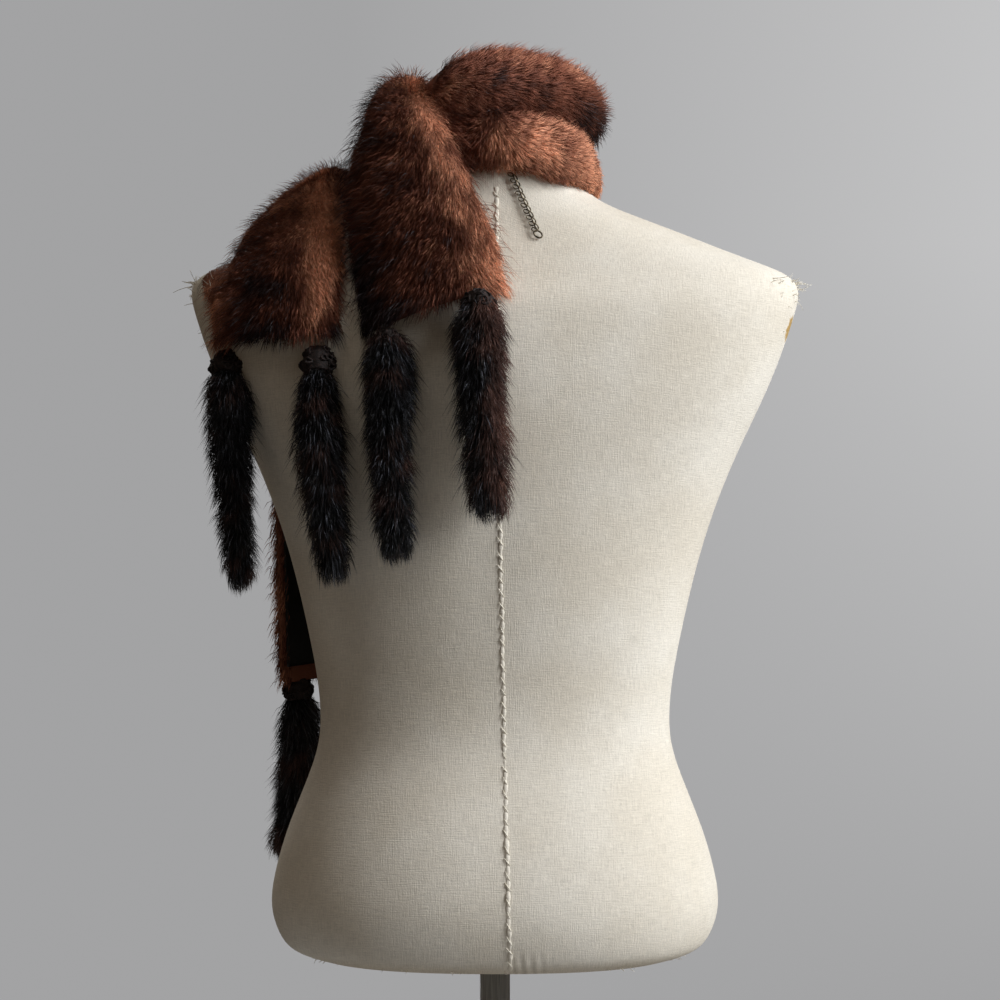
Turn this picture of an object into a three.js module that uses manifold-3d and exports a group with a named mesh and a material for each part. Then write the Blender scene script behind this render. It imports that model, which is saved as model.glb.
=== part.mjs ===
// A fur collar stole of two rows of pelts, thrown round the neck of a linen dress form on a pole.
// Millimetres, +Z up. The form faces -Y, its left shoulder is at +X, and the origin is under its pole.
import * as THREE from "three";
import { mergeVertices } from "three/addons/utils/BufferGeometryUtils.js";
import Module from "manifold-3d";

const wasm = await Module();
wasm.setup();

// Driving sizes
const BASE_RADIUS = 150;
const BASE_THICK = 8;
const BASE_BEVEL = 3;
const POLE_RADIUS = 10.7;
const FORM_POINTS = 40;
const NECK_TOP = 855;
const GAP = 0.3;
const CUT_GAP = 0.45;
const ROUND = 2.6;
const SKIN = 1.5;
const LINING_THICK = 1;
const LINING_GAP = 0.6;
const HEM_ROUND = 11;
const ROW_SPACING = 45;
const STRIP_POINTS = 14;
const STEPS_A_ROW = 3;

// Horizontal sections of the form: height, half width, depth to the front and to the back, and roundness
// (2 is an ellipse, more is squarer)
const FORM = [
  { z: 252, wide: 126, front: 76, back: 84, round: 2.3 },
  { z: 257, wide: 143, front: 88, back: 96, round: 2.29 },
  { z: 265, wide: 152, front: 95, back: 103, round: 2.29 },
  { z: 285, wide: 159.5, front: 100, back: 109, round: 2.27 },
  { z: 307, wide: 157.5, front: 100, back: 109, round: 2.26 },
  { z: 340, wide: 148.5, front: 95, back: 101, round: 2.24 },
  { z: 372, wide: 135.5, front: 87, back: 88, round: 2.22 },
  { z: 398, wide: 126, front: 83, back: 79, round: 2.2 },
  { z: 420, wide: 124, front: 82, back: 76, round: 2.2 },
  { z: 445, wide: 126, front: 83, back: 76, round: 2.2 },
  { z: 470, wide: 130.5, front: 87, back: 79, round: 2.2 },
  { z: 505, wide: 138, front: 96, back: 83, round: 2.2 },
  { z: 540, wide: 147, front: 106, back: 87, round: 2.2 },
  { z: 575, wide: 158.5, front: 114, back: 90, round: 2.3 },
  { z: 611, wide: 173.5, front: 112, back: 93, round: 2.4 },
  { z: 645, wide: 190, front: 101, back: 94, round: 2.58 },
  { z: 675, wide: 202.5, front: 89, back: 92, round: 2.73 },
  { z: 704, wide: 212, front: 77, back: 88, round: 2.86 },
  { z: 719, wide: 216, front: 68, back: 82, round: 2.85 },
  { z: 729, wide: 214, front: 61, back: 76, round: 2.78 },
  { z: 736, wide: 205, front: 57, back: 73, round: 2.73 },
  { z: 742, wide: 190, front: 54, back: 70, round: 2.67 },
  { z: 752, wide: 163.5, front: 51, back: 66, round: 2.53 },
  { z: 764, wide: 134, front: 49, back: 61, round: 2.36 },
  { z: 775, wide: 105, front: 48, back: 58, round: 2.23 },
  { z: 786, wide: 77, front: 50, back: 55, round: 2.13 },
  { z: 797, wide: 64, front: 52, back: 54, round: 2.04 },
  { z: 810, wide: 58, front: 53, back: 54, round: 2 },
  { z: 830, wide: 56, front: 53, back: 53, round: 2 },
  { z: 855, wide: 55, front: 52, back: 52, round: 2 },
  { z: 866, wide: 52, front: 49, back: 49, round: 2 },
  { z: 871, wide: 43, front: 40, back: 40, round: 2 },
];

// The form's section at a height, between two rows of its table
function section(z) {
  const above = FORM.findIndex((row) => row.z > z);
  const i = above < 0 ? FORM.length - 2 : Math.max(0, above - 1);
  const [a, b] = [FORM[i], FORM[i + 1]];
  const t = Math.min(1, Math.max(0, (z - a.z) / (b.z - a.z)));
  const mix = (key) => a[key] + t * (b[key] - a[key]);
  return { wide: mix("wide"), front: mix("front"), back: mix("back"), round: mix("round") };
}

const at = (x, y, z) => new THREE.Vector3(x, y, z);

// Points that lie a little off the form: on its front, on its back, and round its neck
function onFront(x, z, lift) {
  const s = section(z);
  return at(x, -s.front * (1 - Math.abs(x / s.wide) ** s.round) ** (1 / s.round) - lift, z);
}
function onBack(x, z, lift) {
  const s = section(z);
  return at(x, s.back * (1 - Math.abs(x / s.wide) ** s.round) ** (1 / s.round) + lift, z);
}
// A point that hangs straight down from the bust
function hang(x, z, lift) {
  const bust = onFront(x, 590, lift);
  return at(x, bust.y, z);
}
// Degrees run from the nape to the right shoulder, the throat and the left shoulder
function onNeck(degrees, z, lift) {
  const a = THREE.MathUtils.degToRad(degrees);
  const s = section(Math.min(z, NECK_TOP));
  const deep = Math.cos(a) > 0 ? s.back : s.front;
  const r = 1 / Math.hypot(Math.sin(a) / s.wide, Math.cos(a) / deep) + lift;
  return at(-r * Math.sin(a), r * Math.cos(a), z);
}

// The row of pelts that lies against the neck, from its front hem to its back hem.
// Near is the edge on the neck's side, crown how far the skin arches, pile the depth of the fur.
const INNER_ROW = [
  { place: "front hem", near: hang(-26, 462, 3), far: hang(66, 452, 3), crown: 3, pile: 14 },
  { place: "ribs", near: hang(-25, 530, 3), far: hang(69, 524, 3), crown: 4, pile: 16 },
  { place: "bust", near: onFront(-13, 606, 2), far: onFront(80, 606, 2), crown: 3, pile: 16 },
  { place: "chest", near: onFront(14, 680, 2), far: onFront(90, 684, 2), crown: 3, pile: 16 },
  { place: "shoulder front", near: onFront(40, 750, 2), far: onFront(97, 740, 2), crown: 4, pile: 15 },
  { place: "shoulder", near: at(62, -16, 822), far: at(98, -12, 784), crown: 3, pile: 14 },
  { place: "beside the nape", near: onNeck(-70, 850, 3), far: onNeck(-66, 816, 5), crown: 3, pile: 14 },
  { place: "left of the nape", near: onNeck(-36, 868, 3), far: onNeck(-36, 832, 5), crown: 3, pile: 16 },
  { place: "nape", near: onNeck(0, 884, 3), far: onNeck(0, 843, 5), crown: 4, pile: 17 },
  { place: "right of the nape", near: onNeck(45, 881, 3), far: onNeck(45, 836, 5), crown: 4, pile: 18 },
  { place: "right side", near: onNeck(90, 872, 3), far: onNeck(90, 826, 5), crown: 4, pile: 17 },
  { place: "right of the throat", near: onNeck(135, 859, 3), far: onNeck(135, 816, 5), crown: 4, pile: 17 },
  { place: "throat", near: onNeck(180, 847, 4), far: onNeck(180, 805, 6), crown: 4, pile: 17 },
  { place: "left of the throat", near: onNeck(214, 852, 12), far: onNeck(214, 808, 20), crown: 5, pile: 17 },
  { place: "over the first layer", near: at(50, -34, 866), far: at(84, -42, 836), crown: 7, pile: 15 },
  { place: "left of the neck", near: at(46, 8, 870), far: at(81, 0, 850), crown: 8, pile: 13 },
  { place: "behind the neck", near: at(40, 48, 854), far: at(90, 38, 830), crown: 9, pile: 15 },
  { place: "collar height", near: at(26, 70, 822), far: at(100, 56, 804), crown: 9, pile: 17 },
  { place: "shoulder blade", near: at(9, 82, 782), far: at(98, 68, 776), crown: 8, pile: 17 },
  { place: "back", near: at(-3, 85, 750), far: at(94, 79, 738), crown: 6, pile: 16 },
  { place: "back hem", near: onBack(-7, 716, 3), far: onBack(87, 689, 3), crown: 5, pile: 13 },
];

// The row that lies outside it, lower on the neck and further out on the shoulder
const OUTER_ROW = [
  { place: "front hem", near: hang(73, 449, 3), far: at(161, -56, 439), crown: 4, pile: 14 },
  { place: "ribs", near: hang(75, 520, 3), far: at(163, -54, 515), crown: 4, pile: 16 },
  { place: "bust", near: onFront(86, 602, 2), far: at(163, -48, 598), crown: 5, pile: 16 },
  { place: "chest", near: onFront(96, 680, 2), far: onFront(162, 684, 2), crown: 3, pile: 16 },
  { place: "shoulder front", near: onFront(102, 740, 2), far: onFront(146, 738, 2), crown: 4, pile: 15 },
  { place: "shoulder", near: at(103, -10, 782), far: at(142, -6, 766), crown: 3, pile: 13 },
  { place: "beside the nape", near: onNeck(-66, 810, 6), far: at(92, 32, 784), crown: 3, pile: 13 },
  { place: "left of the nape", near: onNeck(-36, 836, 3), far: onNeck(-36, 803, 4), crown: 3, pile: 13 },
  { place: "nape", near: onNeck(0, 849, 3), far: onNeck(0, 804, 4), crown: 3, pile: 13 },
  { place: "right of the nape", near: onNeck(45, 842, 3), far: onNeck(45, 796, 4), crown: 3, pile: 13 },
  { place: "right side", near: onNeck(90, 832, 3), far: onNeck(90, 790, 2), crown: 3, pile: 12 },
  { place: "right of the throat", near: onNeck(135, 822, 3), far: onNeck(135, 781, 4), crown: 4, pile: 14 },
  { place: "throat", near: onNeck(180, 811, 4), far: onNeck(180, 771, 6), crown: 4, pile: 16 },
  { place: "left of the throat", near: onNeck(212, 812, 14), far: at(50, -86, 766), crown: 5, pile: 16 },
  { place: "over the first layer", near: at(86, -52, 814), far: at(98, -80, 760), crown: 6, pile: 16 },
  { place: "over the shoulder", near: at(105, -24, 812), far: at(143, -48, 760), crown: 7, pile: 15 },
  { place: "left shoulder", near: at(108, 16, 806), far: at(176, -2, 759), crown: 7, pile: 15 },
  { place: "behind the shoulder", near: at(104, 48, 782), far: at(194, 28, 734), crown: 6, pile: 16 },
  { place: "shoulder blade", near: at(103, 74, 734), far: onBack(203, 707, 4), crown: 5, pile: 16 },
  { place: "back hem", near: onBack(106, 686, 3), far: onBack(199, 683, 3), crown: 4, pile: 13 },
];

// A closed surface through rings of points, all with the same count
function loft(rings) {
  const count = rings[0].length;
  const points = rings.flat();
  const caps = [rings[0], rings[rings.length - 1]].map((ring) =>
    ring.reduce((sum, p) => sum.add(p), new THREE.Vector3()).divideScalar(count),
  );
  const index = [];
  for (let i = 0; i + 1 < rings.length; i++)
    for (let j = 0; j < count; j++) {
      const k = (j + 1) % count;
      const [a, b] = [i * count + j, i * count + k];
      const [c, d] = [a + count, b + count];
      index.push(a, b, d, a, d, c);
    }
  const first = points.length;
  const lastRing = (rings.length - 1) * count;
  for (let j = 0; j < count; j++) {
    const k = (j + 1) % count;
    index.push(first, k, j, first + 1, lastRing + j, lastRing + k);
  }
  return closed([...points, ...caps], index);
}

// Geometry from points and triangles, turned to face outwards
function closed(points, index) {
  let volume = 0;
  for (let i = 0; i < index.length; i += 3) {
    const [a, b, c] = [0, 1, 2].map((k) => points[index[i + k]]);
    volume += a.dot(b.clone().cross(c));
  }
  if (volume < 0) index.reverse();
  return new THREE.BufferGeometry().setFromPoints(points).setIndex(index);
}

// A three.js geometry as a solid for cutting, and back again as one body
function solid(geometry) {
  const bare = geometry.index ? geometry.toNonIndexed() : geometry.clone();
  bare.deleteAttribute("normal");
  bare.deleteAttribute("uv");
  const merged = mergeVertices(bare, 1e-3);
  return new wasm.Manifold(
    new wasm.Mesh({
      numProp: 3,
      vertProperties: merged.attributes.position.array,
      triVerts: new Uint32Array(merged.index.array),
    }),
  );
}
function largest(body) {
  const parts = body.decompose();
  return parts.reduce((a, b) => (a.volume() > b.volume() ? a : b));
}
function cut(geometry, ...cutters) {
  let body = solid(geometry);
  for (const cutter of cutters) body = body.subtract(solid(cutter));
  const mesh = largest(body).getMesh();
  return new THREE.BufferGeometry()
    .setAttribute("position", new THREE.BufferAttribute(mesh.vertProperties, 3))
    .setIndex(new THREE.BufferAttribute(mesh.triVerts, 1));
}

// The form, or the form grown by a clearance
function formBody(grow = 0) {
  const rings = FORM.map((row, i) => {
    const end = i === 0 ? -grow : i === FORM.length - 1 ? grow : 0;
    const ring = [];
    for (let j = 0; j < FORM_POINTS; j++) {
      const a = (2 * Math.PI * j) / FORM_POINTS;
      const [c, s] = [Math.cos(a), Math.sin(a)];
      const deep = s > 0 ? row.back : row.front;
      const [u, v] = [c, s].map((t) => Math.sign(t) * Math.abs(t) ** (2 / row.round));
      ring.push(at((row.wide + grow) * u, (deep + grow) * v, row.z + end));
    }
    return ring;
  });
  return loft(rings);
}

// A smooth curve through one value of every row, read by row number and straight beyond its ends
function through(points) {
  const curve = new THREE.CatmullRomCurve3(points, false, "catmullrom", 0.5);
  const last = points.length - 1;
  return (row) => {
    const inside = Math.min(last, Math.max(0, row));
    const point = curve.getPoint(inside / last);
    if (row === inside) return point;
    const inner = curve.getPoint(row < 0 ? 0.1 / last : 1 - 0.1 / last);
    return point.addScaledVector(point.clone().sub(inner), Math.abs(row - inside) / 0.1);
  };
}

// Row numbers to build a strip at, closer together where a hem rounds off
function stations(from, to, hemFrom, hemTo) {
  const steps = Math.round((to - from) * STEPS_A_ROW);
  const rows = Array.from({ length: steps + 1 }, (_, i) => from + ((to - from) * i) / steps);
  const near = HEM_ROUND / ROW_SPACING;
  const extra = [0.12 * near, 0.45 * near];
  if (hemFrom) rows.push(...extra.map((e) => from + e));
  if (hemTo) rows.push(...extra.map((e) => to - e));
  return rows.sort((a, b) => a - b);
}

// A stretch of a row of pelts: each section arches over the skin and rounds off at both edges
function strip(rows, { from, to, hemFrom = false, hemTo = false, grow = 0, inset = 0, lining = false }) {
  const near = through(rows.map((row) => row.near));
  const far = through(rows.map((row) => row.far));
  const form = through(rows.map((row) => at(row.crown, row.pile, 0)));
  const step = 0.02;
  const more = grow / ROW_SPACING;
  const inside = stations(from, to, hemFrom, hemTo);
  const all = grow ? [from - more, ...inside, to + more] : inside;
  const rings = all.map((row) => {
    const [a, b, shape] = [near(row), far(row), form(row)];
    const middle = a.clone().add(b).multiplyScalar(0.5);
    const across = b.clone().sub(a);
    const half = across.length() / 2;
    across.normalize();
    const ahead = [near, far]
      .map((edge) => edge(row + step).sub(edge(row - step)))
      .reduce((p, q) => p.add(q));
    const out = across.clone().cross(ahead).normalize();
    const toHem = Math.max(0, Math.min(hemFrom ? row - from : 9, hemTo ? to - row : 9)) * ROW_SPACING;
    const fade = toHem < HEM_ROUND ? Math.sqrt(1 - (1 - toHem / HEM_ROUND) ** 2) : 1;
    const ring = [];
    for (let j = 0; j < STRIP_POINTS; j++) {
      const angle = (2 * Math.PI * j) / STRIP_POINTS;
      const [c, s] = [Math.cos(angle), Math.sin(angle)];
      const v = Math.sign(c) * Math.abs(c) ** (2 / ROUND);
      const h = Math.abs(s) ** (2 / ROUND);
      const under = -SKIN - LINING_GAP;
      const top = lining ? under : (0.35 + 0.65 * fade) * shape.y * h + grow * h;
      const bottom = lining ? under - LINING_THICK : -(SKIN + grow) * h;
      const wide = (half - inset) * (0.93 + 0.07 * fade) + grow;
      const arch = shape.x * (1 - v * v);
      ring.push(
        middle
          .clone()
          .addScaledVector(across, v * wide)
          .addScaledVector(out, arch + (s >= 0 ? top : bottom)),
      );
    }
    return ring;
  });
  return loft(rings);
}

// A tube along points, whose radius follows a short profile of [share of the length, radius]
function tube(points, profile, sides, steps, grow = 0) {
  const curve = new THREE.CatmullRomCurve3(points);
  const radiusAt = (u) => {
    const i = Math.max(1, profile.findIndex(([share]) => share >= u));
    const [[u0, r0], [u1, r1]] = [profile[i - 1], profile[i]];
    return r0 + ((r1 - r0) * (u - u0)) / (u1 - u0);
  };
  const side = at(1, 0, 0);
  const rings = [];
  for (let i = 0; i <= steps; i++) {
    const u = i / steps;
    const centre = curve.getPoint(u);
    const ahead = curve.getTangent(u);
    const second = ahead.clone().cross(side).normalize();
    const first = second.clone().cross(ahead);
    const r = radiusAt(u) + grow;
    const end = i === 0 ? -grow : i === steps ? grow : 0;
    rings.push(
      Array.from({ length: sides }, (_, j) => {
        const a = (2 * Math.PI * j) / sides;
        return centre
          .clone()
          .addScaledVector(first, r * Math.cos(a))
          .addScaledVector(second, r * Math.sin(a))
          .addScaledVector(ahead, end);
      }),
    );
  }
  return loft(rings);
}

const material = (color, roughness, metalness = 0) =>
  new THREE.MeshStandardMaterial({ color, roughness, metalness });
const LINEN = material(0xd9d2c4, 0.95);
const STEEL = material(0x9a9a98, 0.35, 1);
const PELT = material(0x5c3020, 0.8);
const TAIL_FUR = material(0x16110f, 0.8);
const GATHER = material(0x241813, 0.9);
const SATIN = material(0x0d0b0b, 0.5);
const BRONZE = material(0x4a4234, 0.45, 1);

const model = new THREE.Group();
function add(name, geometry, look) {
  const mesh = new THREE.Mesh(geometry, look);
  mesh.name = name;
  model.add(mesh);
  return mesh;
}

// The stand
function stand() {
  const r = BASE_RADIUS;
  const profile = [
    new THREE.Vector2(0, 0),
    new THREE.Vector2(r, 0),
    new THREE.Vector2(r, BASE_THICK - BASE_BEVEL),
    new THREE.Vector2(r - BASE_BEVEL, BASE_THICK),
    new THREE.Vector2(0, BASE_THICK),
  ];
  const base = new THREE.LatheGeometry(profile, 48).rotateX(Math.PI / 2);
  add("stand_base", base, STEEL);
  const length = FORM[0].z - BASE_THICK - 2 * GAP;
  const pole = new THREE.CylinderGeometry(POLE_RADIUS, POLE_RADIUS, length, 24).rotateX(Math.PI / 2);
  pole.translate(0, 0, BASE_THICK + GAP + length / 2);
  add("stand_pole", pole, STEEL);
}

// The stretches of the two rows, each a pelt or two long, in the order in which they lie on each other
const SEAM = 0.25 / ROW_SPACING;
const LAYERS = [
  { name: "front_end_inner", rows: INNER_ROW, from: 0, to: 7 - SEAM, hemFrom: true },
  { name: "front_end_outer", rows: OUTER_ROW, from: 0, to: 7 - SEAM, hemFrom: true },
  { name: "collar_back_upper", rows: INNER_ROW, from: 7 + SEAM, to: 10 - SEAM },
  { name: "collar_back_lower", rows: OUTER_ROW, from: 7 + SEAM, to: 10 - SEAM },
  { name: "collar_front_upper", rows: INNER_ROW, from: 10 + SEAM, to: 13 - SEAM },
  { name: "collar_front_lower", rows: OUTER_ROW, from: 10 + SEAM, to: 13 - SEAM },
  { name: "back_end_inner", rows: INNER_ROW, from: 13 + SEAM, to: 20, hemTo: true },
  { name: "back_end_outer", rows: OUTER_ROW, from: 13 + SEAM, to: 19, hemTo: true },
];

// Tails, from the outer edge inwards: each hangs from a hem by a gathered head.
// A path has its hem end, two places between and its tip.
const TAILS = [
  { name: "back_1", path: [at(184, 48, 678), at(184, 56, 640), at(181, 59, 590), at(175, 60, 514)] },
  { name: "back_2", path: [at(120, 80, 680), at(120, 92, 645), at(117, 96, 595), at(108, 97, 523)] },
  { name: "back_3", path: [at(73, 92, 692), at(71, 104, 655), at(71, 107, 605), at(65, 108, 536)] },
  { name: "back_4", path: [at(11, 102, 715), at(10, 112, 680), at(8, 115, 635), at(2, 115, 566)] },
  { name: "front_1", path: [at(147, -71, 443), at(145, -78, 405), at(149, -86, 360), at(158, -92, 310)] },
  { name: "front_2", path: [at(86, -112, 450), at(85, -114, 412), at(87, -116, 365), at(92, -118, 309)] },
  { name: "front_3", path: [at(54, -122, 456), at(52, -125, 418), at(49, -127, 365), at(44, -128, 308)] },
  { name: "front_4", path: [at(-12, -122, 464), at(-13, -126, 426), at(-11, -129, 372), at(-6, -130, 315)] },
];
const TAIL_SIDES = 10;
const HEAD_SHARE = 0.13;
const HEAD_PROFILE = [[0, 7], [0.3, 10.5], [0.75, 11.5], [1, 9.5]];
const TAIL_PROFILE = [[0, 9], [0.06, 13], [0.2, 16.5], [0.45, 17], [0.75, 15], [0.92, 11], [1, 5]];

// Part of a tail's path, as points for its own tube
function partOf(path, from, to, count) {
  const curve = new THREE.CatmullRomCurve3(path);
  return Array.from({ length: count }, (_, i) => curve.getPoint(from + ((to - from) * i) / (count - 1)));
}

// The chain that hangs from the collar's lower edge on to the back of the form
const CHAIN = { links: 19, wire: 0.75, hole: 2.7, x0: -12, z0: 800.5, slant: 0.42, turn: 45, lift: 2.35 };
function chain() {
  const ring = (CHAIN.hole + CHAIN.wire) / 2;
  const pitch = CHAIN.hole - GAP;
  const place = (i) => {
    const down = (i * pitch) / Math.hypot(1, CHAIN.slant, 0.2);
    const [x, z] = [CHAIN.x0 - CHAIN.slant * down, CHAIN.z0 - down];
    return onBack(x, z, CHAIN.lift);
  };
  for (let i = 0; i < CHAIN.links; i++) {
    const link = new THREE.TorusGeometry(ring, CHAIN.wire / 2, 5, 10);
    link.rotateY(Math.PI / 2);
    const ahead = place(i + 1).sub(place(i - 1)).normalize();
    const mesh = add("chain_link_" + String(i + 1).padStart(2, "0"), link, BRONZE);
    mesh.position.copy(place(i));
    const twist = THREE.MathUtils.degToRad(i % 2 ? CHAIN.turn : -CHAIN.turn);
    const aim = new THREE.Quaternion().setFromUnitVectors(at(0, 0, -1), ahead);
    mesh.quaternion.copy(aim).multiply(new THREE.Quaternion().setFromAxisAngle(at(0, 0, 1), twist));
  }
  const [wire, hole] = [1, 4.6];
  const end = new THREE.TorusGeometry((hole + wire) / 2, wire / 2, 6, 14).rotateX(Math.PI / 2 - 0.25);
  const last = place(CHAIN.links - 1);
  const mesh = add("chain_end_ring", end, BRONZE);
  mesh.position.copy(last).add(at(-1.4, 1.6, -(hole + CHAIN.hole) / 2 + GAP));
}

stand();
const form = formBody();
add("dress_form", form, LINEN);
const cutters = [formBody(CUT_GAP)];
for (const layer of LAYERS) {
  add(layer.name, cut(strip(layer.rows, layer), ...cutters), PELT);
  cutters.push(strip(layer.rows, { ...layer, grow: CUT_GAP }));
}
// The lining shows behind the front end, from just above its hem up to where it meets the bust
const lining = strip(OUTER_ROW, { from: 0.16, to: 1.49, inset: 8, lining: true });
add("front_end_lining", lining, SATIN);
for (const row of TAILS) {
  const headPath = partOf(row.path, 0, HEAD_SHARE, 3);
  const head = tube(headPath, HEAD_PROFILE, TAIL_SIDES, 4);
  add("tail_head_" + row.name, cut(head, ...cutters), GATHER);
  const headCut = tube(headPath, HEAD_PROFILE, TAIL_SIDES, 4, CUT_GAP);
  const tail = tube(partOf(row.path, HEAD_SHARE * 0.9, 1, 6), TAIL_PROFILE, TAIL_SIDES, 12);
  add("tail_" + row.name, cut(tail, ...cutters, headCut), TAIL_FUR);
}
chain();

export default model;
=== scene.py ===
"""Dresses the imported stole: fur on every stretch and tail, linen on the form, and a studio round it.

Shapes are worked out in millimetres, +Z up, the form's back towards +Y and its left shoulder at +X.
"""

import bpy
import numpy as np
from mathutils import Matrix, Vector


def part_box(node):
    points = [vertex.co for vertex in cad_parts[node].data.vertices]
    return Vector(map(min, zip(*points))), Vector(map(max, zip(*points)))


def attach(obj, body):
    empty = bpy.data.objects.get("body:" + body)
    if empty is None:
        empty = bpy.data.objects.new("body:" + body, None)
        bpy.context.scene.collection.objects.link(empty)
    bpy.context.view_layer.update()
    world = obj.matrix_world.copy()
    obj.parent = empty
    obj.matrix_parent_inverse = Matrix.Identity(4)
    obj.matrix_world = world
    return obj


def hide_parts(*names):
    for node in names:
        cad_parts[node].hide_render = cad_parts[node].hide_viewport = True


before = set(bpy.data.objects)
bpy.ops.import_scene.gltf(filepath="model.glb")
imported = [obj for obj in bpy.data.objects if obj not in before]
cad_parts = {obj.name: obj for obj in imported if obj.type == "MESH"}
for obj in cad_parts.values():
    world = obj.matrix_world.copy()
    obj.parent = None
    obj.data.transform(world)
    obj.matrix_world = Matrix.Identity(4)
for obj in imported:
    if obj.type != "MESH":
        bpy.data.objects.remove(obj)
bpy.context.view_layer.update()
rng = np.random.default_rng(1947)

MM = 0.001
TAU = 2 * np.pi

# The camera stands behind the form, level with the middle of its back
CAMERA_DISTANCE = 1800
CAMERA_SIDE = -3.6
CAMERA_HEIGHT = 575
CAMERA_LENS = 90.7


def make_camera():
    data = bpy.data.cameras.new("camera")
    data.lens = CAMERA_LENS
    camera = bpy.data.objects.new("camera", data)
    camera.location = np.array([CAMERA_SIDE, CAMERA_DISTANCE, CAMERA_HEIGHT]) * MM
    camera.rotation_euler = np.radians([90, 0, 180])
    bpy.context.collection.objects.link(camera)
    bpy.context.scene.camera = camera


make_camera()


# Shader expressions
class Value:
    """A shader socket. Operators on numbers add Math nodes, and on vectors and colours Vector Math."""

    def __init__(self, material, socket):
        self.material = material
        self.socket = socket

    def _join(self, operation, first, second):
        sides = (first, second)
        vector = any(isinstance(x, tuple) or getattr(x, "is_vector", False) for x in sides)
        kind = "VectorMath" if vector else "Math"
        if vector:
            sides = [(x, x, x) if isinstance(x, (int, float)) else x for x in sides]
        return self.material.node(kind, {"operation": operation}, {0: sides[0], 1: sides[1]})

    @property
    def is_vector(self):
        return self.socket.type in ("VECTOR", "RGBA")

    def __add__(self, other):
        return self._join("ADD", self, other)

    def __radd__(self, other):
        return self._join("ADD", other, self)

    def __sub__(self, other):
        return self._join("SUBTRACT", self, other)

    def __rsub__(self, other):
        return self._join("SUBTRACT", other, self)

    def __mul__(self, other):
        return self._join("MULTIPLY", self, other)

    def __rmul__(self, other):
        return self._join("MULTIPLY", other, self)

    def between(self, low, high):
        """0 below low, 1 above high, and a smooth step from one to the other."""
        settings = {"interpolation_type": "SMOOTHSTEP"}
        return self.material.node("MapRange", settings, {"Value": self, 1: low, 2: high})

    def blend(self, low, high):
        """The colour low where this value is 0 and high where it is 1."""
        sockets = {"Factor": self, "A": low, "B": high}
        return self.material.node("Mix", {"data_type": "RGBA"}, sockets, "Result")


class Finish:
    """One material: its nodes, and the Principled shader that they feed."""

    def __init__(self, name, **constants):
        self.data = bpy.data.materials.new(name)
        self.data.use_nodes = True
        self.tree = self.data.node_tree
        self.tree.nodes.clear()
        shader = self.tree.nodes.new("ShaderNodeBsdfPrincipled")
        output = self.tree.nodes.new("ShaderNodeOutputMaterial")
        self.tree.links.new(shader.outputs[0], output.inputs[0])
        self.shader = shader
        for socket, value in constants.items():
            self.shader.inputs[socket.replace("_", " ")].default_value = value

    def node(self, kind, settings=None, sockets=None, output=0):
        """Adds a node of this kind: its settings first, then the values or links of its sockets."""
        made = self.tree.nodes.new("ShaderNode" + kind)
        for key, value in (settings or {}).items():
            setattr(made, key, value)
        for key, value in (sockets or {}).items():
            socket = self._socket(made, key)
            if isinstance(value, Value):
                self.tree.links.new(value.socket, socket)
            else:
                socket.default_value = self._fit(socket, value)
        outputs = made.outputs
        if isinstance(output, str):
            shown = [o for o in outputs if o.name == output and o.enabled]
            return Value(self, shown[0])
        return Value(self, outputs[output])

    @staticmethod
    def _socket(made, key):
        if isinstance(key, int):
            return made.inputs[key]
        return [i for i in made.inputs if i.name == key and i.enabled][0]

    @staticmethod
    def _fit(socket, value):
        if socket.type == "RGBA" and len(value) == 3:
            return (*value, 1)
        return value

    def noise(self, vector, scale, detail=3, roughness=0.5):
        sockets = {"Vector": vector, "Scale": scale, "Detail": detail, "Roughness": roughness}
        return self.node("TexNoise", {}, sockets)

    def attribute(self, name):
        return self.node("Attribute", {"attribute_name": name}, {}, "Fac")

    def place(self):
        return self.node("TexCoord", {}, {}, "Object")

    def cloth(self):
        """The piece's own UV map, in metres along and across its surface."""
        return self.node("UVMap", {"uv_map": "cloth"}, {})

    def feed(self, socket, value):
        self.tree.links.new(value.socket, self.shader.inputs[socket])

    def bump(self, height, distance, strength=1.0):
        sockets = {"Height": height, "Distance": distance, "Strength": strength}
        self.feed("Normal", self.node("Bump", {}, sockets))


# Meshes from arrays
def put(name, points, faces, finish, values=None, uv=None, smooth=True):
    """Makes an object from points in millimetres and a list of face arrays, each with its own corner count.

    values are numbers on the points, by attribute name. uv is a pair of millimetres a point or a corner.
    """
    mesh = bpy.data.meshes.new(name)
    faces = [np.asarray(f) for f in faces if len(f)]
    loops = np.concatenate([f.ravel() for f in faces]).astype(np.int32)
    sizes = np.concatenate([np.full(len(f), f.shape[1]) for f in faces])
    starts = np.concatenate([[0], np.cumsum(sizes)[:-1]]).astype(np.int32)
    mesh.vertices.add(len(points))
    mesh.vertices.foreach_set("co", (np.asarray(points, float) * MM).ravel().astype(np.float32))
    mesh.loops.add(len(loops))
    mesh.loops.foreach_set("vertex_index", loops)
    mesh.polygons.add(len(sizes))
    mesh.polygons.foreach_set("loop_start", starts)
    mesh.polygons.foreach_set("use_smooth", np.full(len(sizes), smooth))
    mesh.update(calc_edges=True)
    for key, numbers in (values or {}).items():
        mesh.attributes.new(key, "FLOAT", "POINT").data.foreach_set("value", numbers.astype(np.float32))
    if uv is not None:
        layer = mesh.uv_layers.new(name="cloth")
        corners = uv if len(uv) == len(loops) else np.asarray(uv)[loops]
        layer.data.foreach_set("uv", (corners * MM).ravel().astype(np.float32))
    mesh.validate()
    mesh.materials.append(finish.data)
    made = bpy.data.objects.new(name, mesh)
    bpy.context.collection.objects.link(made)
    return made


def piece(made, slot, *nodes):
    """Sets a finished piece in the frame: its body and the solids it replaces. slot is not used."""
    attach(made, "root")
    if nodes:
        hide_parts(*nodes)
    return made


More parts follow.
